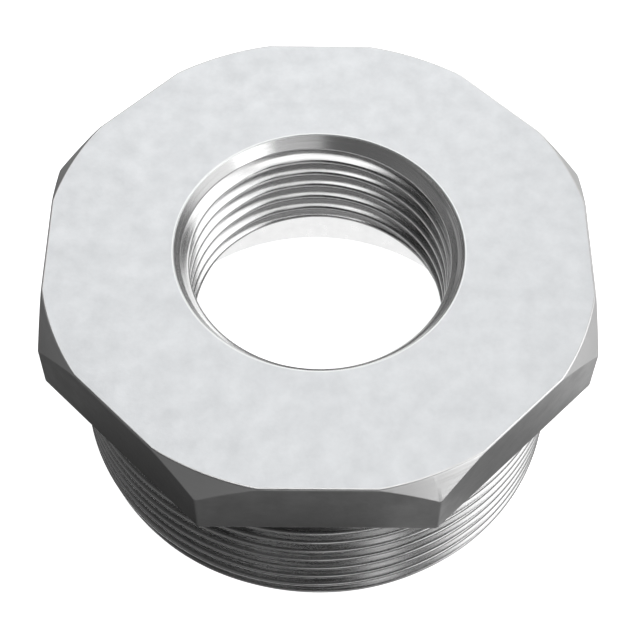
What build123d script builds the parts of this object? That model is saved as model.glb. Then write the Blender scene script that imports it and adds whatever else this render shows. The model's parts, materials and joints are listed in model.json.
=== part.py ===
from build123d import *

import os
from math import cos, radians, tan

# Reducing pipe bushing in cast stainless steel: an octagonal head over a threaded
# spigot, with a smaller thread through the head and a cored recess under it.
# Millimetres, +Z up. The origin is the centre of the spigot's end face, on which
# the bushing stands. The thread turns themselves are not cut here: the spigot is
# as wide as the crests of the outer thread, and the bore is as narrow as the
# crests of the inner one.

# Head
across_flats = 63.0          # spanner size, over two opposite flats
flat_count = 8
head_height = 9.0
corner_radius = 0.6          # upright edges between the flats, as cast
bevel_slope = 52.0           # turned bevel on the top corners, degrees below the top
bevel_overlap = 0.5          # the bevel starts this far outside the middle of a flat

# Both threads: 11 turns to the inch, Whitworth form
thread_pitch = 25.4 / 11
thread_depth = 0.640327 * thread_pitch

# Spigot with the outer thread
spigot_length = 23.0         # end face to the underside of the head
outer_thread_diameter = 59.614
relief_width = 3.5           # plain groove where the threading tool ran out
relief_below_root = 0.2
relief_corner_radius = 0.5
lead_in_below_root = 0.1     # 45 degree lead-in at the end of the spigot

# Bore with the inner thread
inner_thread_diameter = 33.249
hub_length = 16.0            # top face to the roof of the recess
mouth_margin = 0.25          # the mouth is this much wider than the thread, a side
mouth_slope = 54.5           # degrees below the top
exit_below_root = 0.1        # 45 degree bevel where the bore opens into the recess

# Cored recess under the bore
recess_wall = 3.8            # from the roots of the outer thread to the recess
recess_draft = 2.0           # degrees, narrower towards the roof
roof_radius = 2.5            # round between the recess wall and its roof
roof_share = 0.8             # the most of the roof's width that the round takes up
recess_edge_bevel = 0.6      # 45 degree bevel at the end face

# Sizes that follow
overall_height = spigot_length + head_height
apothem = across_flats / 2
corner_reach = apothem / cos(radians(180 / flat_count))
crest_radius = outer_thread_diameter / 2
root_radius = crest_radius - thread_depth
relief_radius = root_radius - relief_below_root
lead_in = crest_radius - root_radius + lead_in_below_root
bore_radius = inner_thread_diameter / 2 - thread_depth
mouth_radius = inner_thread_diameter / 2 + mouth_margin
mouth_depth = (mouth_radius - bore_radius) * tan(radians(mouth_slope))
exit_bevel = thread_depth + exit_below_root
roof_height = overall_height - hub_length
recess_mouth_radius = root_radius - recess_wall
recess_roof_radius = recess_mouth_radius - roof_height * tan(radians(recess_draft))
roof_width = recess_roof_radius - bore_radius - exit_bevel
roof_round = min(roof_radius, roof_share * roof_width)
run_out = 1.0                # cutters run past the faces they open


def revolved(points, rounds=()):
    """Turn an outline of (radius, height) points about the Z axis.

    rounds holds (point, radius) pairs for the corners of the outline that are rounded.
    """
    outline = make_face(Polyline(*points, close=True))
    for point, radius in rounds:
        corner = outline.vertices().sort_by_distance(point)[0]
        outline = fillet(corner, radius)
    return revolve(Plane.XZ * outline, Axis.Z)


def octagonal_head():
    """Prism with rounded corners, its top corners turned away by one cone."""
    octagon = RegularPolygon(apothem, flat_count, major_radius=False, rotation=180 / flat_count)
    octagon = fillet(octagon.vertices(), corner_radius)
    prism = Pos(0, 0, spigot_length) * extrude(octagon, head_height)

    bevel_start = apothem + bevel_overlap
    outside = corner_reach + run_out
    bevel_drop = (outside - bevel_start) * tan(radians(bevel_slope))
    turned_limit = revolved([
        (0, spigot_length),
        (outside, spigot_length),
        (outside, overall_height - bevel_drop),
        (bevel_start, overall_height),
        (0, overall_height),
    ])
    return prism & turned_limit


def threaded_spigot():
    """Round spigot with its lead-in and the relief groove under the head."""
    groove_floor = (relief_radius, spigot_length - relief_width)
    return revolved(
        [
            (0, 0),
            (crest_radius - lead_in, 0),
            (crest_radius, lead_in),
            (crest_radius, groove_floor[1] - (crest_radius - relief_radius)),
            groove_floor,
            (relief_radius, spigot_length),
            (0, spigot_length),
        ],
        rounds=[(groove_floor, relief_corner_radius)],
    )


def passage():
    """Everything that the flow passes through: mouth, bore and cored recess."""
    mouth_run_out = mouth_radius + run_out / tan(radians(mouth_slope))
    roof_corner = (recess_roof_radius, roof_height)
    edge_reach = recess_mouth_radius + recess_edge_bevel
    wall_lean = tan(radians(recess_draft))
    edge_top = (recess_mouth_radius - recess_edge_bevel * wall_lean, recess_edge_bevel)
    return revolved(
        [
            (0, -run_out),
            (edge_reach + run_out, -run_out),
            (edge_reach, 0),
            edge_top,
            roof_corner,
            (bore_radius + exit_bevel, roof_height),
            (bore_radius, roof_height + exit_bevel),
            (bore_radius, overall_height - mouth_depth),
            (mouth_radius, overall_height),
            (mouth_run_out, overall_height + run_out),
            (0, overall_height + run_out),
        ],
        rounds=[(roof_corner, roof_round)],
    )


bushing_body = octagonal_head() + threaded_spigot() - passage()

os.makedirs("parts", exist_ok=True)
export_step(bushing_body, "parts/bushing_body.step")
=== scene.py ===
"""Octagon-head reducing bushing in cast stainless steel, standing in a pale studio."""

import json
import logging
import math
from collections.abc import Iterable, Sequence
from dataclasses import dataclass, field
from enum import Enum

import bmesh
import bpy
from mathutils import Matrix, Vector


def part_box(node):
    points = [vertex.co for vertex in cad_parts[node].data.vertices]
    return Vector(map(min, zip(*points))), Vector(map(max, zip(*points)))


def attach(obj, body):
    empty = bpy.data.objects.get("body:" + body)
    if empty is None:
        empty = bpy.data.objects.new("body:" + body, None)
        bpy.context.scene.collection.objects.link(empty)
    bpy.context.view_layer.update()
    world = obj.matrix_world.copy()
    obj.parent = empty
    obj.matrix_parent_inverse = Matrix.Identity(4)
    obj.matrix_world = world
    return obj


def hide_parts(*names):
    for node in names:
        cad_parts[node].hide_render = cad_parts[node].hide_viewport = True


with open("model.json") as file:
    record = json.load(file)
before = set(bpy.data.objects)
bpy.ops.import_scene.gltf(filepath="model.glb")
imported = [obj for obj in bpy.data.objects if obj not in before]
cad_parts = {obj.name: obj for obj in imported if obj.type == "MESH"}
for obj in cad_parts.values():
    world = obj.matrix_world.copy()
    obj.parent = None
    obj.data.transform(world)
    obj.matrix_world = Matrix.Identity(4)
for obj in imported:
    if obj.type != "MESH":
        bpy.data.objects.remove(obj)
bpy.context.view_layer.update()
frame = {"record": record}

LOG = logging.getLogger("bushing")

BODY = "root"
NODE = "bushing_body"

METRES_PER_MM = 0.001
PITCH = 25.4 / 11  # mm, both threads have 11 turns to the inch
THREAD_DEPTH = 0.640327 * PITCH  # mm, of a full Whitworth form
SHARP_DEPTH = 1.5  # of the V that the thread is rounded from, as a share of the thread's depth
ROUNDED_OFF = 1 / 6  # of the V, at its crest and again at its root
DIAGONAL = 1.0  # mm of radius for each mm of height on a 45 degree cone
WELD = 0.0015  # mm, vertices nearer than this are one
COLUMNS = 240  # facets round a turned surface
CREASE = 25.0  # degrees, two finishes meet in a sharp edge where it bends more than this
RING_WIDTH = 1.0  # mm, every flat ring is wider than this
SEAM = 0.001  # radians, where a flat ring is started, short of the vertices on the X axis
TURNED = "turned"  # attribute of the faces that a lathe cut
MATH = "ShaderNodeMath"
NOISE_RANGE = {"From Min": 0.3, "From Max": 0.7}  # nearly all of a noise lies between these

Outline = list[tuple[float, float]]


def linear_colour(hex_code: str) -> tuple[float, float, float, float]:
    """Turn an sRGB hex code into the linear colour that a shader takes.

    Args:
        hex_code: six hex digits, such as "b8bab9".

    Returns:
        Red, green, blue and an alpha of 1.
    """
    shares = [int(hex_code[i : i + 2], 16) / 255 for i in (0, 2, 4)]
    linear = [s / 12.92 if s <= 0.04045 else ((s + 0.055) / 1.055) ** 2.4 for s in shares]
    return (*linear, 1.0)


def cycles_per_metre(size_mm: float) -> float:
    """Give the scale of a pattern whose features are size_mm across, on coordinates in metres."""
    return 1 / (size_mm * METRES_PER_MM)


def set_inputs(node: bpy.types.Node, inputs: dict[int | str, object]) -> None:
    """Give inputs of a node their values and links.

    Args:
        node: the node.
        inputs: for each input, by index or name, its value, the output socket that feeds it, or
            the node whose first output feeds it.
    """
    for key, value in inputs.items():
        if isinstance(value, bpy.types.Node):
            value = value.outputs[0]
        if isinstance(value, bpy.types.NodeSocket):
            node.id_data.links.new(value, node.inputs[key])
        else:
            node.inputs[key].default_value = value


def add_node(
    tree: bpy.types.NodeTree,
    kind: str,
    inputs: dict[int | str, object] | None = None,
    **settings: object,
) -> bpy.types.Node:
    """Add a node to a tree, with its settings, values and links.

    Args:
        tree: shader or geometry tree that gets the node.
        kind: the node's type.
        inputs: what set_inputs takes.
        settings: the node's own properties.

    Returns:
        The new node.
    """
    node = tree.nodes.new(kind)
    for name, value in settings.items():
        setattr(node, name, value)
    set_inputs(node, inputs or {})
    return node


class Finish(Enum):
    """The surfaces that the bushing shows, by how each was made."""

    BLASTED_FACE = "blasted_cast_face"
    CAST_FLAT = "cast_flat"
    TURNED_BEVEL = "turned_bevel"
    CUT_THREAD = "cut_thread"
    BORED_THREAD = "bored_thread"
    MOUTH_CHAMFER = "mouth_chamfer"
    FACED_END = "faced_end"
    CORED_RECESS = "cored_recess"


@dataclass(frozen=True)
class CastSteel:
    """Stainless steel as it leaves the mould, blasted clean.

    The mould leaves a fine pebble skin, and blasting makes it a dull satin with pale and
    dark patches a few millimetres across. No reflection on it has a sharp edge.
    """

    finish: Finish
    pale: str
    dark: str
    roughness: float
    roughness_spread: float
    patch_size: float  # mm
    pebble_size: float  # mm, the real skin is finer, too fine to show from here
    pebble_depth: float  # mm

    def material(self) -> bpy.types.Material:
        """Build the material.

        Returns:
            A material named for the finish.
        """
        material, tree, place = start_metal(self.finish)
        patches = add_node(
            tree,
            "ShaderNodeTexNoise",
            {"Vector": place, "Scale": cycles_per_metre(self.patch_size), "Detail": 5.0, "Roughness": 0.62},
        )
        tint = add_node(
            tree,
            "ShaderNodeMix",
            {
                "Factor": add_node(tree, "ShaderNodeMapRange", {"Value": patches} | NOISE_RANGE),
                "A": linear_colour(self.dark),
                "B": linear_colour(self.pale),
            },
            data_type="RGBA",
        )
        rough = add_node(
            tree,
            "ShaderNodeMapRange",
            {
                "Value": patches,
                "To Min": self.roughness + self.roughness_spread,
                "To Max": self.roughness - self.roughness_spread,
            }
            | NOISE_RANGE,
        )
        pebbles = add_node(
            tree,
            "ShaderNodeTexNoise",
            {"Vector": place, "Scale": cycles_per_metre(self.pebble_size), "Detail": 3.0},
        )
        end_metal(material, tint.outputs["Result"], rough, pebbles, self.pebble_depth)
        return material


@dataclass(frozen=True)
class TurnedSteel:
    """Stainless steel cut on a lathe.

    The tool leaves fine rings round the axis, so highlights are brighter and tighter than
    on the cast skin and are drawn out across the rings.
    """

    finish: Finish
    colour: str
    roughness: float
    ring_pitch: float  # mm, drawn coarser than the real feed, which is too fine to show
    ring_depth: float  # mm
    roughness_swing: float = 0.25  # from ring to ring, as a share of the roughness

    def material(self) -> bpy.types.Material:
        """Build the material.

        Returns:
            A material named for the finish.
        """
        material, tree, place = start_metal(self.finish)
        part = add_node(tree, "ShaderNodeSeparateXYZ", {"Vector": place})
        across = add_node(tree, "ShaderNodeCombineXYZ", {"X": part.outputs["X"], "Y": part.outputs["Y"]})
        reach = add_node(tree, "ShaderNodeVectorMath", {0: across}, operation="LENGTH")
        ring_place = add_node(
            tree,
            "ShaderNodeCombineXYZ",
            {"X": reach.outputs["Value"], "Y": part.outputs["Z"]},
        )
        rings = add_node(
            tree,
            "ShaderNodeTexNoise",
            {"Vector": ring_place, "Scale": cycles_per_metre(self.ring_pitch), "Detail": 2.0},
        )
        rough = add_node(
            tree,
            "ShaderNodeMapRange",
            {
                "Value": rings,
                "To Min": self.roughness * (1 - self.roughness_swing),
                "To Max": self.roughness * (1 + self.roughness_swing),
            }
            | NOISE_RANGE,
        )
        end_metal(material, linear_colour(self.colour), rough, rings, self.ring_depth)
        return material


def start_metal(finish: Finish) -> tuple[bpy.types.Material, bpy.types.NodeTree, bpy.types.NodeSocket]:
    """Start a metal, whose patterns are still to come.

    Args:
        finish: the finish that the material is named for.

    Returns:
        The material, its tree, and the socket that gives the place on the piece.
    """
    material = bpy.data.materials.new(finish.value)
    material.use_nodes = True
    tree = material.node_tree
    return material, tree, add_node(tree, "ShaderNodeTexCoord").outputs["Object"]


def end_metal(
    material: bpy.types.Material,
    colour: tuple[float, float, float, float] | bpy.types.NodeSocket,
    roughness: bpy.types.Node,
    skin: bpy.types.Node,
    skin_depth: float,
) -> None:
    """Give a metal its colour, its roughness and the relief of its skin.

    Args:
        material: the material, from start_metal.
        colour: a linear colour, or the socket that gives one.
        roughness: the node that gives the roughness.
        skin: the node that gives the height of the skin, from 0 to 1.
        skin_depth: the relief between those, in mm.
    """
    tree = material.node_tree
    bump = add_node(tree, "ShaderNodeBump", {"Height": skin, "Distance": skin_depth * METRES_PER_MM})
    set_inputs(
        tree.nodes["Principled BSDF"],
        {"Metallic": 1.0, "Base Color": colour, "Roughness": roughness, "Normal": bump},
    )


def run_tree(
    name: str,
    mesh: bpy.types.Mesh,
    tree: bpy.types.NodeTree,
    values: dict[str, object],
) -> bpy.types.Mesh:
    """Run a geometry tree on a mesh and keep what it makes as a plain mesh.

    Args:
        name: name for the result.
        mesh: what the tree starts from.
        tree: the geometry tree.
        values: a value for each of the tree's named inputs.

    Returns:
        The new mesh.
    """
    maker = bpy.data.objects.new(name, mesh)
    bpy.context.scene.collection.objects.link(maker)
    modifier = maker.modifiers.new(name, "NODES")
    modifier.node_group = tree
    for item in tree.interface.items_tree:
        if item.item_type == "SOCKET" and item.in_out == "INPUT" and item.name in values:
            modifier[item.identifier] = values[item.name]
    depsgraph = bpy.context.evaluated_depsgraph_get()
    result = bpy.data.meshes.new_from_object(maker.evaluated_get(depsgraph), depsgraph=depsgraph)
    result.name = name
    maker.modifiers.remove(modifier)
    bpy.data.objects.remove(maker)
    return result


def start_geometry_tree(name: str, sockets: dict[str, str]) -> tuple[bpy.types.NodeTree, bpy.types.Node]:
    """Start a geometry tree with named inputs.

    Args:
        name: the tree's name.
        sockets: the socket type for each input, by name.

    Returns:
        The tree and its input node.
    """
    tree = bpy.data.node_groups.new(name, "GeometryNodeTree")
    for title, kind in sockets.items():
        tree.interface.new_socket(title, in_out="INPUT", socket_type=kind)
    tree.interface.new_socket("Geometry", in_out="OUTPUT", socket_type="NodeSocketGeometry")
    return tree, add_node(tree, "NodeGroupInput")


def end_geometry_tree(
    tree: bpy.types.NodeTree,
    shape: bpy.types.Node,
    given: bpy.types.Node,
    marked: str | None = None,
) -> None:
    """Realise, weld and dress what a tree made, and give it to the output.

    Args:
        tree: the tree to end.
        shape: the node that gives the geometry.
        given: the tree's input node, which has the weld distance and the materials.
        marked: an attribute of the faces that take the input Marked Material instead.
    """
    real = add_node(tree, "GeometryNodeRealizeInstances", {"Geometry": shape})
    welded = add_node(
        tree, "GeometryNodeMergeByDistance", {"Geometry": real, "Distance": given.outputs["Weld"]}
    )
    dressed = add_node(
        tree, "GeometryNodeSetMaterial", {"Geometry": welded, "Material": given.outputs["Material"]}
    )
    if marked:
        mark = add_node(tree, "GeometryNodeInputNamedAttribute", {"Name": marked}, data_type="BOOLEAN")
        dressed = add_node(
            tree,
            "GeometryNodeSetMaterial",
            {
                "Geometry": dressed,
                "Selection": mark.outputs["Attribute"],
                "Material": given.outputs["Marked Material"],
            },
        )
    add_node(tree, "NodeGroupOutput", {"Geometry": dressed})


def thread_tree() -> bpy.types.NodeTree:
    """Build the tree that winds a grid into a Whitworth thread.

    Rows of the grid follow the helix, and both ends are flattened to a circle. The turns are
    held back by a cone at each end, which makes the lead-in and the run-out. A thread that
    points inwards has negative radii until its side turns them round.

    Returns:
        The tree, whose lengths are in millimetres.
    """
    lengths = ("Pitch", "Start", "V Root", "V Depth", "Crest", "Rounding", "Edge Round", "Weld")
    ends = ("Bottom", "Bottom Radius", "Bottom Slope", "Top", "Top Radius", "Top Slope")
    tree, given = start_geometry_tree(
        "screw_thread",
        {name: "NodeSocketFloat" for name in (*lengths, *ends, "Turns", "Side")}
        | {"Columns": "NodeSocketInt", "Rows": "NodeSocketInt", "Material": "NodeSocketMaterial"},
    )
    size = given.outputs
    grid = add_node(
        tree,
        "GeometryNodeMeshGrid",
        {
            "Size X": 1.0,
            "Size Y": size["Turns"],
            "Vertices X": add_node(tree, MATH, {0: size["Columns"], 1: 1.0}, operation="ADD"),
            "Vertices Y": add_node(tree, MATH, {0: size["Rows"], 1: 1.0}, operation="ADD"),
        },
    )
    spot = add_node(tree, "ShaderNodeSeparateXYZ", {"Vector": add_node(tree, "GeometryNodeInputPosition")})

    # The grid is centred and its unit is a turn. It starts a turn low, so that every column
    # reaches the bottom.
    turn_share = add_node(tree, MATH, {0: spot.outputs["X"], 1: 0.5}, operation="ADD")
    row = add_node(
        tree, MATH, {0: size["Turns"], 1: 0.5, 2: spot.outputs["Y"]}, operation="MULTIPLY_ADD"
    )
    row_turn = add_node(tree, MATH, {0: row, 1: 1.0}, operation="SUBTRACT")
    turn = add_node(tree, MATH, {0: row_turn, 1: turn_share}, operation="ADD")
    climb = add_node(tree, MATH, {0: turn, 1: size["Pitch"], 2: size["Bottom"]}, operation="MULTIPLY_ADD")
    height = add_node(tree, "ShaderNodeClamp", {"Value": climb, "Min": size["Bottom"], "Max": size["Top"]})

    # The V rises and falls once a turn, and its crest and root are rounded off.
    above_start = add_node(tree, MATH, {0: height, 1: size["Start"]}, operation="SUBTRACT")
    pitches = add_node(tree, MATH, {0: above_start, 1: size["Pitch"]}, operation="DIVIDE")
    phase = add_node(tree, MATH, {0: pitches, 1: turn_share}, operation="SUBTRACT")
    wave = add_node(tree, MATH, {0: phase, 1: 0.5}, operation="PINGPONG")
    full_wave = add_node(tree, MATH, {0: wave, 1: 2.0}, operation="MULTIPLY")
    sharp = add_node(tree, MATH, {0: full_wave, 1: size["V Depth"]}, operation="MULTIPLY")
    crested = add_node(
        tree, MATH, {0: sharp, 1: size["Crest"], 2: size["Rounding"]}, operation="SMOOTH_MIN"
    )
    rounded = add_node(
        tree, MATH, {0: crested, 1: size["Rounding"], 2: size["Rounding"]}, operation="SMOOTH_MAX"
    )
    turned = add_node(tree, MATH, {0: size["V Root"], 1: rounded}, operation="ADD")

    # The cones of the lead-in and of the run-out hold the turns back.
    above = add_node(tree, MATH, {0: height, 1: size["Bottom"]}, operation="SUBTRACT")
    lead_in = add_node(
        tree,
        MATH,
        {0: above, 1: size["Bottom Slope"], 2: size["Bottom Radius"]},
        operation="MULTIPLY_ADD",
    )
    below = add_node(tree, MATH, {0: size["Top"], 1: height}, operation="SUBTRACT")
    run_out = add_node(
        tree, MATH, {0: below, 1: size["Top Slope"], 2: size["Top Radius"]}, operation="MULTIPLY_ADD"
    )
    started = add_node(tree, MATH, {0: turned, 1: lead_in, 2: size["Edge Round"]}, operation="SMOOTH_MIN")
    held = add_node(tree, MATH, {0: started, 1: run_out, 2: size["Edge Round"]}, operation="SMOOTH_MIN")
    radius = add_node(tree, MATH, {0: held, 1: size["Side"]}, operation="MULTIPLY")

    angle = add_node(tree, MATH, {0: turn_share, 1: math.tau}, operation="MULTIPLY")
    cosine = add_node(tree, MATH, {0: angle}, operation="COSINE")
    sine = add_node(tree, MATH, {0: angle}, operation="SINE")
    wound = add_node(
        tree,
        "ShaderNodeCombineXYZ",
        {
            "X": add_node(tree, MATH, {0: radius, 1: cosine}, operation="MULTIPLY"),
            "Y": add_node(tree, MATH, {0: radius, 1: sine}, operation="MULTIPLY"),
            "Z": height,
        },
    )
    placed = add_node(tree, "GeometryNodeSetPosition", {"Geometry": grid, "Position": wound})
    end_geometry_tree(tree, placed, given)
    return tree


def ring_repeat_tree() -> bpy.types.NodeTree:
    """Build the tree that repeats one sector round the Z axis.

    Returns:
        The tree, which takes the sector, with its turned faces marked, and how many there are.
    """
    tree, given = start_geometry_tree(
        "ring_repeat",
        {
            "Geometry": "NodeSocketGeometry",
            "Count": "NodeSocketInt",
            "Weld": "NodeSocketFloat",
            "Material": "NodeSocketMaterial",
            "Marked Material": "NodeSocketMaterial",
        },
    )
    count = given.outputs["Count"]
    step = add_node(tree, MATH, {0: math.tau, 1: count}, operation="DIVIDE")
    angle = add_node(
        tree, MATH, {0: add_node(tree, "GeometryNodeInputIndex"), 1: step}, operation="MULTIPLY"
    )
    copies = add_node(
        tree,
        "GeometryNodeInstanceOnPoints",
        {
            "Points": add_node(tree, "GeometryNodePoints", {"Count": count}),
            "Instance": given.outputs["Geometry"],
            "Rotation": add_node(tree, "ShaderNodeCombineXYZ", {"Z": angle}),
        },
    )
    end_geometry_tree(tree, copies, given, TURNED)
    return tree


def new_mesh(name: str, work: bmesh.types.BMesh) -> bpy.types.Mesh:
    """Keep a working mesh as a mesh, and free it.

    Args:
        name: name for the mesh.
        work: the working mesh, which can't be used after this.

    Returns:
        The mesh.
    """
    mesh = bpy.data.meshes.new(name)
    work.to_mesh(mesh)
    work.free()
    return mesh


def arc(centre: tuple[float, float], radius: float, start: float, end: float, steps: int) -> Outline:
    """Give points along an arc, in degrees from the first axis, both ends included."""
    angles = [math.radians(start + (end - start) * i / steps) for i in range(steps + 1)]
    return [(centre[0] + radius * math.cos(a), centre[1] + radius * math.sin(a)) for a in angles]


@dataclass(frozen=True)
class Corner:
    """A corner of a turned outline, in mm from the axis and from the end face."""

    radius: float
    height: float
    rounding: float = 0.0


def rounded_outline(corners: Sequence[Corner], steps: int = 6) -> Outline:
    """Follow corners and replace each rounded one by its arc.

    Args:
        corners: the outline's corners in order.
        steps: facets of each arc.

    Returns:
        Points of radius and height.
    """
    spots = [Vector((c.radius, c.height)) for c in corners]
    points: Outline = []
    for i, corner in enumerate(corners):
        if corner.rounding == 0 or i in (0, len(corners) - 1):
            points.append((corner.radius, corner.height))
            continue
        back = (spots[i - 1] - spots[i]).normalized()
        onward = (spots[i + 1] - spots[i]).normalized()
        half = back.angle(onward) / 2
        centre = spots[i] + (back + onward).normalized() * (corner.rounding / math.sin(half))
        reach = corner.rounding / math.tan(half)
        first = spots[i] + back * reach - centre
        last = spots[i] + onward * reach - centre
        for k in range(steps + 1):
            points.append(tuple(centre + Matrix.Rotation(first.angle_signed(last) * -k / steps, 2) @ first))
    return points


@dataclass(frozen=True)
class TurnedBand:
    """A surface made by turning an outline about the Z axis."""

    name: str
    corners: tuple[Corner, ...]
    finish: Finish

    def mesh(self, materials: dict[Finish, bpy.types.Material]) -> bpy.types.Mesh:
        """Turn the outline.

        Args:
            materials: the material for each finish.

        Returns:
            The band, open at both ends.
        """
        work = bmesh.new()
        angles = [math.tau * i / COLUMNS for i in range(COLUMNS)]
        rings = [
            [work.verts.new((radius * math.cos(a), radius * math.sin(a), height)) for a in angles]
            for radius, height in rounded_outline(self.corners)
        ]
        for lower, upper in zip(rings, rings[1:]):
            for i in range(COLUMNS):
                j = (i + 1) % COLUMNS
                work.faces.new((lower[i], lower[j], upper[j], upper[i]))
        mesh = new_mesh(self.name, work)
        mesh.materials.append(materials[self.finish])
        return mesh


class Side(Enum):
    """Which way the crests of a thread point."""

    OUTWARD = 1.0
    INWARD = -1.0


@dataclass(frozen=True)
class ScrewThread:
    """A Whitworth pipe thread, held back by a cone at each end. Sizes are in mm."""

    name: str
    side: Side
    crest_radius: float
    start: float  # height of a root on the +X side
    bottom: Corner
    bottom_slope: float  # mm of radius for each mm of height
    top: Corner
    top_slope: float
    finish: Finish
    pitch: float = PITCH
    depth: float = THREAD_DEPTH
    rows_per_turn: int = 18
    edge_round: float = 0.04

    def mesh(self, tree: bpy.types.NodeTree, materials: dict[Finish, bpy.types.Material]) -> bpy.types.Mesh:
        """Wind the thread.

        Args:
            tree: the tree that winds a thread.
            materials: the material for each finish.

        Returns:
            The thread's surface, open at both ends.
        """
        side = self.side.value
        turns = (self.top.height - self.bottom.height) / self.pitch
        rows = math.ceil((turns + 1) * self.rows_per_turn)
        sharp = SHARP_DEPTH * self.depth
        rounding = ROUNDED_OFF * sharp
        return run_tree(
            self.name,
            bpy.data.meshes.new(self.name),
            tree,
            {
                "Pitch": self.pitch,
                "Start": self.start,
                "V Root": side * self.crest_radius - self.depth - rounding,
                "V Depth": sharp,
                "Crest": sharp - rounding,
                "Rounding": rounding,
                "Bottom": self.bottom.height,
                "Bottom Radius": side * self.bottom.radius,
                "Bottom Slope": self.bottom_slope,
                "Top": self.top.height,
                "Top Radius": side * self.top.radius,
                "Top Slope": self.top_slope,
                "Side": side,
                "Columns": COLUMNS,
                "Rows": rows,
                "Turns": rows / self.rows_per_turn,
                "Edge Round": self.edge_round,
                "Weld": WELD,
                "Material": materials[self.finish],
            },
        )


@dataclass(frozen=True)
class OctagonHead:
    """The rim of the head: eight flats, their rounded corners, and the cone that bevels them."""

    apothem: float
    underside: float  # height
    top: float  # height
    corner_radius: float = 0.6
    bevel_slope: float = 52.0  # degrees below the top
    bevel_overlap: float = 0.5  # the cone starts this far outside the middle of a flat
    top_edge_round: float = 0.3
    under_edge_round: float = 0.3
    flat_count: int = 8
    flat_columns: int = 14  # from the middle of a flat to its corner
    corner_columns: int = 5
    edge_steps: int = 3  # facets of the round at the underside, and over the flat
    cap_steps: int = 4  # facets of the round from the bevel to the top face

    def plan(self) -> Outline:
        """Give one sector's outline in plan, from the middle of a flat to the next.

        Returns:
            Points of X and Y.
        """
        half = math.pi / self.flat_count
        centre_reach = (self.apothem - self.corner_radius) / math.cos(half)
        centre = (centre_reach * math.cos(half), centre_reach * math.sin(half))
        around = arc(centre, self.corner_radius, 0, 360 / self.flat_count, self.corner_columns)
        first = [(self.apothem, around[0][1] * i / self.flat_columns) for i in range(self.flat_columns)]
        turn = math.tau / self.flat_count
        last = [
            (x * math.cos(turn) + y * math.sin(turn), x * math.sin(turn) - y * math.cos(turn))
            for x, y in reversed(first)
        ]
        return first + around + last

    def section(self, reach: float) -> tuple[Outline, int]:
        """Give the rim's section where a flat or corner is at a reach from the axis.

        Args:
            reach: distance from the axis to the upright wall.

        Returns:
            Points of radius and height from the underside up, and how many faces belong to the flat.
        """
        edge = self.top_edge_round
        normal = 90 - self.bevel_slope  # degrees above level, of the cone's normal
        rise = math.sin(math.radians(normal))
        run = math.cos(math.radians(normal))
        bevel_start = self.apothem + self.bevel_overlap
        wall = reach - edge
        cap = self.top - edge
        wall_top = min(cap, self.top - (edge + run * (wall - bevel_start)) / rise)
        cap_reach = min(wall, bevel_start - edge * (1 - rise) / run)
        under = (reach - self.under_edge_round, self.underside + self.under_edge_round)
        flat = arc(under, self.under_edge_round, -90, 0, self.edge_steps)
        flat += arc((wall, wall_top), edge, 0, normal, self.edge_steps)
        return flat + arc((cap_reach, cap), edge, normal, 90, self.cap_steps), len(flat) - 1

    def mesh(self, tree: bpy.types.NodeTree, materials: dict[Finish, bpy.types.Material]) -> bpy.types.Mesh:
        """Build one sector and repeat it round the axis.

        Args:
            tree: the tree that repeats a sector.
            materials: the material for each finish.

        Returns:
            The rim, open at its underside and its top.
        """
        work = bmesh.new()
        columns = []
        turned = work.faces.layers.bool.new(TURNED)
        for x, y in self.plan():
            reach = math.hypot(x, y)
            rows, flat_rows = self.section(reach)
            columns.append([work.verts.new((x / reach * r, y / reach * r, z)) for r, z in rows])
        for one, other in zip(columns, columns[1:]):
            for k in range(len(one) - 1):
                face = work.faces.new((one[k], other[k], other[k + 1], one[k + 1]))
                face[turned] = k >= flat_rows
        return run_tree(
            "head_rim",
            new_mesh("head_sector", work),
            tree,
            {
                "Count": self.flat_count,
                "Weld": WELD,
                "Material": materials[Finish.CAST_FLAT],
                "Marked Material": materials[Finish.TURNED_BEVEL],
            },
        )


def joined(meshes: Iterable[bpy.types.Mesh]) -> tuple[bmesh.types.BMesh, list[bpy.types.Material]]:
    """Put meshes together in one working mesh.

    Args:
        meshes: the meshes, each with its own materials.

    Returns:
        The working mesh and the materials that its faces use.
    """
    work = bmesh.new()
    materials: list[bpy.types.Material] = []
    for mesh in meshes:
        first = len(work.faces)
        work.from_mesh(mesh)
        work.faces.ensure_lookup_table()
        for face in work.faces[first:]:
            material = mesh.materials[face.material_index]
            if material not in materials:
                materials.append(material)
            face.material_index = materials.index(material)
    return work, materials


def fill_flat_ring(work: bmesh.types.BMesh, height: float, material_index: int) -> None:
    """Close the flat ring between the two open edges at a height.

    Args:
        work: the mesh to close.
        height: where both edges lie.
        material_index: material of the new faces.
    """

    def azimuth(vertex: bmesh.types.BMVert) -> float:
        """Give the angle round the axis, from a start that no vertex lies on, up to a full turn."""
        return (math.atan2(vertex.co.y, vertex.co.x) + SEAM) % math.tau

    open_edges = [
        edge
        for edge in work.edges
        if edge.is_boundary and all(abs(v.co.z - height) < WELD for v in edge.verts)
    ]
    rim = {v for edge in open_edges for v in edge.verts}
    middle = min(v.co.xy.length for v in rim) + RING_WIDTH
    outer_edge = sorted((v for v in rim if v.co.xy.length > middle), key=azimuth)
    inner_edge = sorted((v for v in rim if v.co.xy.length <= middle), key=azimuth)
    rings = [outer_edge, inner_edge]
    angles = [[azimuth(v) for v in ring] for ring in rings]
    angles = [turn + [angle + math.tau for angle in turn] for turn in angles]
    # Step round both edges together, each time along the one whose next vertex comes first.
    place = [0, 0]
    while place[0] < len(rings[0]) or place[1] < len(rings[1]):
        ahead = [angles[k][place[k] + 1] if place[k] < len(rings[k]) else math.inf for k in (0, 1)]
        step = ahead.index(min(ahead))
        corners = [rings[k][place[k] % len(rings[k])] for k in (0, 1)]
        beyond = rings[step][(place[step] + 1) % len(rings[step])]
        face = work.faces.new((corners[0], beyond, corners[1]))
        face.material_index = material_index
        place[step] += 1


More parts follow.
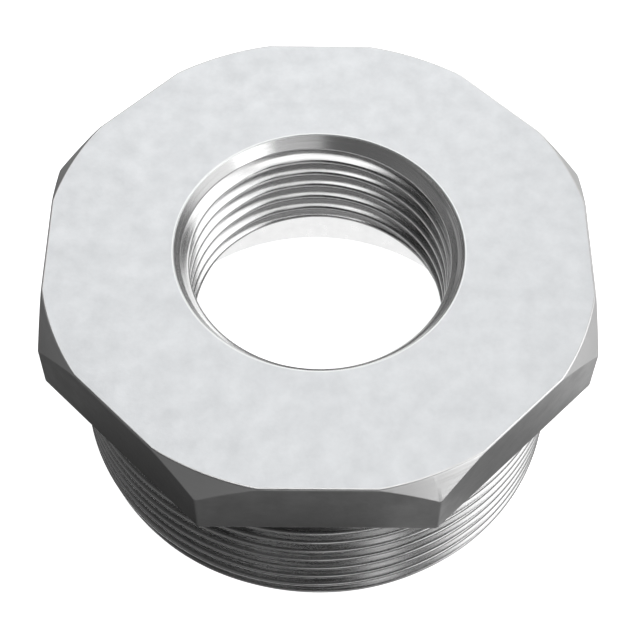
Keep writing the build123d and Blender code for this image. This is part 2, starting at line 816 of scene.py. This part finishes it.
@dataclass
class Bushing:
    """The bushing: an octagonal head over a threaded spigot, with a thread through the head."""

    across_flats: float
    height: float
    outer_crest: float  # radius at the crests
    inner_crest: float  # radius at the crests
    head_height: float = 9.0
    relief_width: float = 3.5  # of the groove under the head
    relief_below_root: float = 0.2
    relief_round: float = 0.5
    groove_round: float = 0.3  # where the groove meets the head
    groove_rim: float = 0.6  # of the head's underside, up to its flat ring
    lead_in_below_root: float = 0.1
    hub_length: float = 16.0  # from the top face to the roof of the recess
    mouth_margin: float = 0.25  # the mouth is this much wider than the roots, a side
    mouth_slope: float = 54.5  # degrees below the top
    mouth_edge_round: float = 0.08
    exit_below_root: float = 0.1
    recess_wall: float = 3.8  # from the roots of the outer thread to the recess
    recess_draft: float = 2.0  # degrees
    roof_round: float = 2.5
    recess_edge_bevel: float = 0.6
    recess_edge_round: float = 0.2
    inner_start: float = 29.7 - PITCH / 4  # height of a root on the +X side
    outer_start: float = 10.0  # height of a root on the +X side
    materials: dict[Finish, bpy.types.Material] = field(default_factory=dict)

    @property
    def underside(self) -> float:
        """Height of the head's underside."""
        return self.height - self.head_height

    def inner_thread(self) -> ScrewThread:
        """Give the thread through the head, from the recess to the mouth.

        Returns:
            The thread, whose top cone is the mouth chamfer.
        """
        roof = self.height - self.hub_length
        root = self.inner_crest + THREAD_DEPTH
        slope = 1 / math.tan(math.radians(self.mouth_slope))
        drop = 2 * self.mouth_edge_round
        return ScrewThread(
            name="inner_thread",
            side=Side.INWARD,
            crest_radius=self.inner_crest,
            start=self.inner_start,
            bottom=Corner(root + self.exit_below_root, roof),
            bottom_slope=DIAGONAL,
            top=Corner(root + self.mouth_margin - drop * slope, self.height - drop),
            top_slope=slope,
            finish=Finish.BORED_THREAD,
        )

    def outer_thread(self) -> ScrewThread:
        """Give the thread on the spigot, from the end face to the relief groove.

        Returns:
            The thread, whose top cone runs out into the groove.
        """
        root = self.outer_crest - THREAD_DEPTH
        groove = root - self.relief_below_root
        lean = math.atan(DIAGONAL)
        tangent = self.relief_round * math.tan(lean / 2) * math.cos(lean)
        return ScrewThread(
            name="outer_thread",
            side=Side.OUTWARD,
            crest_radius=self.outer_crest,
            start=self.outer_start,
            bottom=Corner(root - self.lead_in_below_root, 0.0),
            bottom_slope=DIAGONAL,
            top=Corner(groove + tangent, self.underside - self.relief_width - tangent),
            top_slope=DIAGONAL,
            finish=Finish.CUT_THREAD,
        )

    def bands(self) -> list[TurnedBand]:
        """Give the turned surfaces between the threads and the flat rings.

        Returns:
            A band for the mouth's edge, the relief groove, the recess and the end face.
        """
        inner = self.inner_thread()
        outer = self.outer_thread()
        groove = self.outer_crest - THREAD_DEPTH - self.relief_below_root
        roof = inner.bottom.height
        mouth = inner.top.radius + inner.top_slope * (self.height - inner.top.height)
        recess = self.outer_crest - THREAD_DEPTH - self.recess_wall
        lean = math.tan(math.radians(self.recess_draft))
        edge = self.recess_edge_bevel
        return [
            TurnedBand(
                "mouth_edge",
                (
                    Corner(inner.top.radius, inner.top.height),
                    Corner(mouth, self.height, self.mouth_edge_round),
                    Corner(mouth + 2 * self.mouth_edge_round, self.height),
                ),
                Finish.MOUTH_CHAMFER,
            ),
            TurnedBand(
                "relief_groove",
                (
                    Corner(outer.top.radius, outer.top.height),
                    Corner(groove, self.underside - self.relief_width, self.relief_round),
                    Corner(groove, self.underside, self.groove_round),
                    Corner(groove + self.groove_rim, self.underside),
                ),
                Finish.CUT_THREAD,
            ),
            TurnedBand(
                "recess",
                (
                    Corner(inner.bottom.radius, roof),
                    Corner(recess - roof * lean, roof, self.roof_round),
                    Corner(recess - edge * lean, edge, self.recess_edge_round),
                    Corner(recess + edge, 0.0),
                ),
                Finish.CORED_RECESS,
            ),
            TurnedBand(
                "end_face",
                (Corner(recess + edge, 0.0), Corner(outer.bottom.radius, 0.0)),
                Finish.FACED_END,
            ),
        ]

    def build(self) -> bpy.types.Object:
        """Build the whole bushing as one closed mesh in its place.

        Returns:
            The bushing's object.
        """
        thread = thread_tree()
        head = OctagonHead(self.across_flats / 2, self.underside, self.height)
        meshes = [head.mesh(ring_repeat_tree(), self.materials)]
        meshes += [part.mesh(thread, self.materials) for part in (self.inner_thread(), self.outer_thread())]
        meshes += [band.mesh(self.materials) for band in self.bands()]
        work, materials = joined(meshes)
        bmesh.ops.remove_doubles(work, verts=work.verts, dist=WELD)
        materials.append(self.materials[Finish.BLASTED_FACE])
        fill_flat_ring(work, self.height, len(materials) - 1)
        fill_flat_ring(work, self.underside, materials.index(self.materials[Finish.CAST_FLAT]))
        bmesh.ops.recalc_face_normals(work, faces=work.faces)
        open_edges = sum(not edge.is_manifold for edge in work.edges)
        LOG.info("bushing: %d faces, %d open edges", len(work.faces), open_edges)
        for face in work.faces:
            face.smooth = True
        crease = math.radians(CREASE)
        for edge in work.edges:
            one, other = edge.link_faces
            if one.material_index != other.material_index and edge.calc_face_angle() > crease:
                edge.smooth = False
        bmesh.ops.transform(work, matrix=Matrix.Scale(METRES_PER_MM, 4), verts=work.verts)
        mesh = new_mesh("bushing", work)
        for material in materials:
            mesh.materials.append(material)
        piece = bpy.data.objects.new("bushing_casting", mesh)
        bpy.context.scene.collection.objects.link(piece)
        weights = piece.modifiers.new("face_normals", "WEIGHTED_NORMAL")
        weights.keep_sharp = True
        return piece


@dataclass(frozen=True)
class Lamp:
    """A soft rectangular lamp that faces the bushing and doesn't show itself."""

    name: str
    azimuth: float  # degrees from the front, towards the right
    elevation: float  # degrees
    size: tuple[float, float]  # metres
    brightness: float  # 1 is white
    distance: float = 0.9  # metres

    def hang(self, target: Vector) -> None:
        """Hang the lamp.

        Args:
            target: the point that it faces.
        """
        data = bpy.data.lights.new(self.name, "AREA")
        data.shape = "RECTANGLE"
        data.size, data.size_y = self.size
        data.energy = self.brightness * math.pi * self.size[0] * self.size[1]
        lamp = bpy.data.objects.new(self.name, data)
        bpy.context.scene.collection.objects.link(lamp)
        away = direction(self.azimuth, self.elevation)
        lamp.location = target + away * self.distance
        lamp.rotation_euler = (-away).to_track_quat("-Z", "Y").to_euler()
        lamp.visible_camera = False


def direction(azimuth: float, elevation: float) -> Vector:
    """Give the direction at an azimuth from the front and an elevation, both in degrees."""
    turn, rise = math.radians(azimuth), math.radians(elevation)
    return Vector((math.sin(turn) * math.cos(rise), -math.cos(turn) * math.cos(rise), math.sin(rise)))


@dataclass(frozen=True)
class Floor:
    """A pale floor that carries the bushing's shadow. Lengths are in metres.

    Seen in the metal it is a painted reflection: white under the bushing, but for a painted
    shadow, a dark disc inside the recess for the bore's shade, that sets off the thread, and round
    the bushing painted shades, dark or pale by azimuth, in place of cards. A shade of 1 is white.
    """

    reach: float = 3.0
    paint: str = "e7e7e7"
    glow: float = 0.9  # only for the camera, which sees the floor as nearly white
    white_reach: float = 0.0315
    # A painted shadow: a dark disc for the bore's shade on the floor, which only the metal sees.
    painted_shadow_centre: tuple[float, float] = (-0.004, 0.002)
    painted_shadow_reach: float = 0.013
    painted_shadow_level: float = 0.05
    near_reach: float = 0.044  # the near painted shades lie within this, and the far ones beyond it
    # Degrees from the front, towards the right, and the painted shade that the metal sees there, in place
    # of cards.
    near: tuple[tuple[float, float], ...] = (
        (-180, 0.2), (-120, 0.16), (-90, 0.18), (-70, 0.03), (-30, 0.01), (11, 0.02), (14, 0.2),
        (21, 0.2), (22, 0.03), (31, 0.03), (35, 0.4), (42, 0.4), (50, 0.22), (75, 0.22), (120, 0.5),
        (180, 0.2),
    )
    far: tuple[tuple[float, float], ...] = (
        (-180, 0.5), (-120, 0.10), (-80, 0.10), (-45, 0.11), (-15, 0.15), (15, 0.20), (35, 0.25),
        (60, 0.25), (80, 0.65), (120, 0.65), (180, 0.5),
    )

    def build(self) -> None:
        """Lay the floor."""
        work = bmesh.new()
        bmesh.ops.create_grid(work, x_segments=1, y_segments=1, size=self.reach)
        mesh = new_mesh("floor", work)
        floor = bpy.data.objects.new("floor", mesh)
        bpy.context.scene.collection.objects.link(floor)
        mesh.materials.append(self.material())

    def material(self) -> bpy.types.Material:
        """Build the floor's material.

        Returns:
            A painted floor, which shows its painted reflections and painted shadow to glossy rays only.
        """
        material = bpy.data.materials.new("pale_floor")
        material.use_nodes = True
        tree = material.node_tree
        tree.nodes.clear()
        place = add_node(tree, "ShaderNodeTexCoord").outputs["Object"]
        part = add_node(tree, "ShaderNodeSeparateXYZ", {"Vector": place})
        front = add_node(tree, MATH, {0: part.outputs["Y"], 1: -1.0}, operation="MULTIPLY")
        azimuth = add_node(tree, MATH, {0: part.outputs["X"], 1: front}, operation="ARCTAN2")
        turn = add_node(tree, MATH, {0: azimuth, 1: 1 / math.tau, 2: 0.5}, operation="MULTIPLY_ADD")
        # Painted reflections: dark and pale shades by azimuth, seen only by the metal, stand in for cards.
        painted_shades = []
        for stops in (self.near, self.far):
            painted_shade = add_node(tree, "ShaderNodeFloatCurve", {"Value": turn})
            curve = painted_shade.mapping.curves[0]
            painted_shade.mapping.use_clip = False
            for degrees, shade in stops:
                spot = degrees / 360 + 0.5
                if spot in (0.0, 1.0):  # a new curve has points at both ends
                    curve.points[-int(spot)].location = (spot, shade)
                else:
                    curve.points.new(spot, shade)
            for point in curve.points:
                point.handle_type = "VECTOR"
            painted_shade.mapping.update()
            painted_shades.append(painted_shade)

        reach = add_node(tree, "ShaderNodeVectorMath", {0: place}, operation="LENGTH").outputs["Value"]
        beyond = add_node(tree, MATH, {0: reach, 1: self.near_reach}, operation="GREATER_THAN")
        outside = add_node(tree, MATH, {0: reach, 1: self.white_reach}, operation="GREATER_THAN")
        # The painted shadow of the bore, a dark disc inside the recess.
        off_painted_shadow = add_node(
            tree, "ShaderNodeVectorMath", {0: place, 1: (*self.painted_shadow_centre, 0.0)}, operation="DISTANCE"
        )
        in_painted_shadow = add_node(
            tree, MATH, {0: off_painted_shadow.outputs["Value"], 1: self.painted_shadow_reach}, operation="LESS_THAN"
        )
        # In the mixes below, 0 is the factor, 2 what shows at a factor of 0, and 3 at 1.
        painted_shade = add_node(tree, "ShaderNodeMix", {0: beyond, 2: painted_shades[0], 3: painted_shades[1]})
        around = add_node(tree, "ShaderNodeMix", {0: outside, 2: 1.0, 3: painted_shade})
        seen = add_node(tree, "ShaderNodeMix", {0: in_painted_shadow, 2: around, 3: self.painted_shadow_level})

        ray = add_node(tree, "ShaderNodeLightPath").outputs
        lift = add_node(tree, MATH, {0: ray["Is Camera Ray"], 1: self.glow}, operation="MULTIPLY")
        painted = add_node(
            tree,
            "ShaderNodeAddShader",
            {
                0: add_node(tree, "ShaderNodeBsdfDiffuse", {"Color": linear_colour(self.paint)}),
                1: add_node(tree, "ShaderNodeEmission", {"Strength": lift}),
            },
        )
        # The painted reflection that glossy rays see in place of the floor.
        painted_reflection = add_node(tree, "ShaderNodeEmission", {"Strength": seen})
        either = add_node(
            tree, "ShaderNodeMixShader", {0: ray["Is Glossy Ray"], 1: painted, 2: painted_reflection}
        )
        add_node(tree, "ShaderNodeOutputMaterial", {"Surface": either})
        return material


@dataclass(frozen=True)
class StudioCamera:
    """The camera, by its place round the middle of the head's top face and where it points.

    Angles are in degrees.
    """

    distance: float = 0.1785  # metres
    elevation: float = 53.81
    azimuth: float = -0.689
    pitch: float = 56.544
    yaw: float = 0.149
    roll: float = 1.163
    focal_length: float = 86.84  # mm
    sensor: float = 36.0  # mm
    clip_start: float = 0.01  # metres
    clip_end: float = 20.0  # metres

    def build(self, target: Vector) -> None:
        """Place the camera.

        Args:
            target: the middle of the head's top face.
        """
        data = bpy.data.cameras.new("camera")
        data.lens = self.focal_length
        data.sensor_width = self.sensor
        data.clip_start = self.clip_start
        data.clip_end = self.clip_end
        pitch, yaw, roll = (math.radians(angle) for angle in (self.pitch, self.yaw, self.roll))
        ahead = Vector((math.sin(yaw) * math.cos(pitch), math.cos(yaw) * math.cos(pitch), -math.sin(pitch)))
        right = Vector((math.cos(yaw), -math.sin(yaw), 0))
        up = right.cross(ahead)
        turned = (
            math.cos(roll) * right + math.sin(roll) * up,
            math.cos(roll) * up - math.sin(roll) * right,
            -ahead,
        )
        camera = bpy.data.objects.new("camera", data)
        bpy.context.scene.collection.objects.link(camera)
        camera.matrix_world = (
            Matrix.Translation(target)
            @ Matrix.Rotation(math.radians(self.azimuth), 4, "Z")
            @ Matrix.Translation(direction(0, self.elevation) * self.distance)
            @ Matrix(turned).transposed().to_4x4()
        )
        bpy.context.scene.camera = camera


@dataclass(frozen=True)
class Studio:
    """The floor, the lamps, the world and the camera."""

    # Name, azimuth, elevation, size and brightness of each lamp.
    lamps: tuple[Lamp, ...] = (
        Lamp("top_lamp", 20, 85, (0.75, 0.5), 1.9),
        Lamp("back_lamp", 194, 51, (0.95, 0.62), 1.24),
        Lamp("low_back_lamp", 180, 22, (0.7, 0.3), 1.3),
        Lamp("right_lamp", 92, 42, (0.74, 0.65), 1.9),
        Lamp("low_right_lamp", 75, 12, (1.2, 0.3), 1.0),
        Lamp("low_back_right_lamp", 140, 14, (0.8, 0.4), 1.2),
        Lamp("low_front_lamp", 14, 14, (0.5, 0.28), 0.75),
        Lamp("front_right_lamp", 46, 18, (0.4, 0.28), 1.6),
        Lamp("low_left_lamp", -120, 14, (0.6, 0.4), 0.2),
        Lamp("strip_lamp", 30, 58, (0.14, 0.3), 1.0),
    )
    horizon: float = 0.25  # brightness of the world there
    zenith: float = 0.01
    zenith_height: float = 0.8  # the sine of the elevation from which it is as dark as overhead

    def world(self) -> None:
        """Set the world: white to the camera, and dim, darker overhead, to the bushing."""
        world = bpy.data.worlds.new("studio")
        bpy.context.scene.world = world
        world.use_nodes = True
        tree = world.node_tree
        place = add_node(tree, "ShaderNodeTexCoord").outputs["Generated"]
        height = add_node(tree, "ShaderNodeSeparateXYZ", {"Vector": place}).outputs["Z"]
        dim = add_node(
            tree,
            "ShaderNodeMapRange",
            {
                "Value": height,
                "From Max": self.zenith_height,
                "To Min": self.horizon,
                "To Max": self.zenith,
            },
        )
        camera_ray = add_node(tree, "ShaderNodeLightPath").outputs["Is Camera Ray"]
        strength = add_node(tree, "ShaderNodeMix", {0: camera_ray, 2: dim, 3: 1.0})
        set_inputs(tree.nodes["Background"], {"Color": linear_colour("ffffff"), "Strength": strength})

    def build(self, target: Vector) -> None:
        """Build the studio.

        Args:
            target: the middle of the head's top face, which the camera and lamps face.
        """
        Floor().build()
        for lamp in self.lamps:
            lamp.hang(target)
        self.world()
        StudioCamera().build(target)


def steel_finishes() -> dict[Finish, bpy.types.Material]:
    """Make the material of each finish. The steel is the same, and only its surface differs.

    Returns:
        The material for each finish.
    """
    # Cast: pale and dark colour, roughness, its spread, patches, pebbles, depth of the pebbles.
    cast = (
        # The top face: blasted dull, so that it takes one even pale grey and no reflection.
        CastSteel(Finish.BLASTED_FACE, "e2e4e6", "d8dadc", 0.5, 0.03, 2.5, 0.35, 0.01),
        # The flats and the underside: the mould's own skin, darker and with soft reflections.
        CastSteel(Finish.CAST_FLAT, "d0d0d0", "bebebe", 0.35, 0.05, 2.5, 0.5, 0.01),
        # The recess, cast round a core: painted nearly white, without detail, for the light through the
        # bore.
        CastSteel(Finish.CORED_RECESS, "f8f8f8", "f0f0f0", 0.3, 0.05, 2.0, 0.7, 0.01),
    )
    # Turned: colour, roughness, width of the rings, their depth.
    turned = (
        # The cone on the head's corners: a bright cut whose highlights change from corner to corner.
        TurnedSteel(Finish.TURNED_BEVEL, "d8d8d8", 0.35, 0.25, 0.004),
        # The outer thread: burnished by its tool, so each flank is a light or dark line.
        TurnedSteel(Finish.CUT_THREAD, "d0d0d0", 0.24, 0.3, 0.001),
        # The inner thread, up to the mouth: the smoothest cut, with the sharpest bands of light and dark.
        TurnedSteel(Finish.BORED_THREAD, "d4d4d4", 0.22, 0.2, 0.001),
        # The rim of the mouth, where its chamfer meets the top face: a thin pale satin line.
        TurnedSteel(Finish.MOUTH_CHAMFER, "eceeee", 0.42, 0.2, 0.006),
        # The end face: faced on the lathe, with plain rings that can be seen from below.
        TurnedSteel(Finish.FACED_END, "d8d8d8", 0.3, 0.25, 0.003),
    )
    return {steel.finish: steel.material() for steel in (*cast, *turned)}


def main() -> None:
    """Build the bushing and the studio, and report each piece."""
    logging.basicConfig(level=logging.INFO, format="%(name)s: %(message)s")
    low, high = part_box(NODE)
    mounts = {mount["name"]: mount for mount in frame["record"]["mounts"]}
    bushing = Bushing(
        across_flats=(high.x - low.x) / METRES_PER_MM,
        height=(high.z - low.z) / METRES_PER_MM,
        outer_crest=mounts["outer_thread"]["dims"]["r_mm"],
        inner_crest=mounts["inner_thread"]["dims"]["r_mm"],
        materials=steel_finishes(),
    )
    piece = bushing.build()
    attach(piece, BODY)
    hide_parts(NODE)
    LOG.info("%s rides on %s", piece.name, BODY)

    Studio().build(Vector((0, 0, high.z)))
    bpy.context.scene.view_settings.view_transform = "Standard"


if __name__ == "__main__":
    main()
